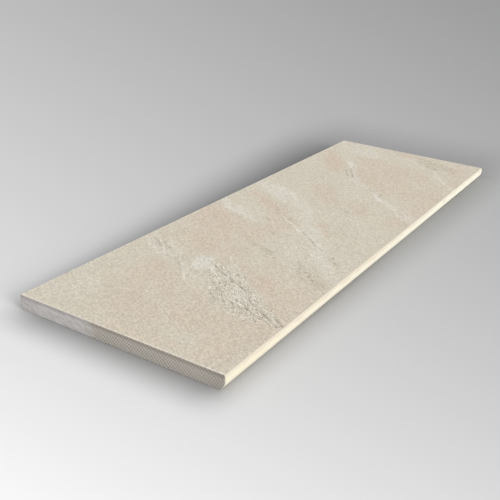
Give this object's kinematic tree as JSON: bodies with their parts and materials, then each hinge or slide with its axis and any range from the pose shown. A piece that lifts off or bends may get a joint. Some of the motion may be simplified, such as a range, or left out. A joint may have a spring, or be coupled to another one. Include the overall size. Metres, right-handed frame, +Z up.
{
  "type": "pool coping stone",
  "caption": "Long flat stone-look coping slab for a pool edge, with one long edge ground to a shallow round nose and square bevelled ends and back.",
  "frame": {"origin": "middle of the bed, the flat underside", "axes": "+X along the pool edge, -Y towards the pool, on the side of the nose, +Z up out of the walked-on face"},
  "size_m": [0.9, 0.3, 0.02],
  "materials": {
    "stoneware": "matte"
  },
  "bodies": {
    "root": {"coping_slab": "stoneware"}
  },
  "joints": []
}
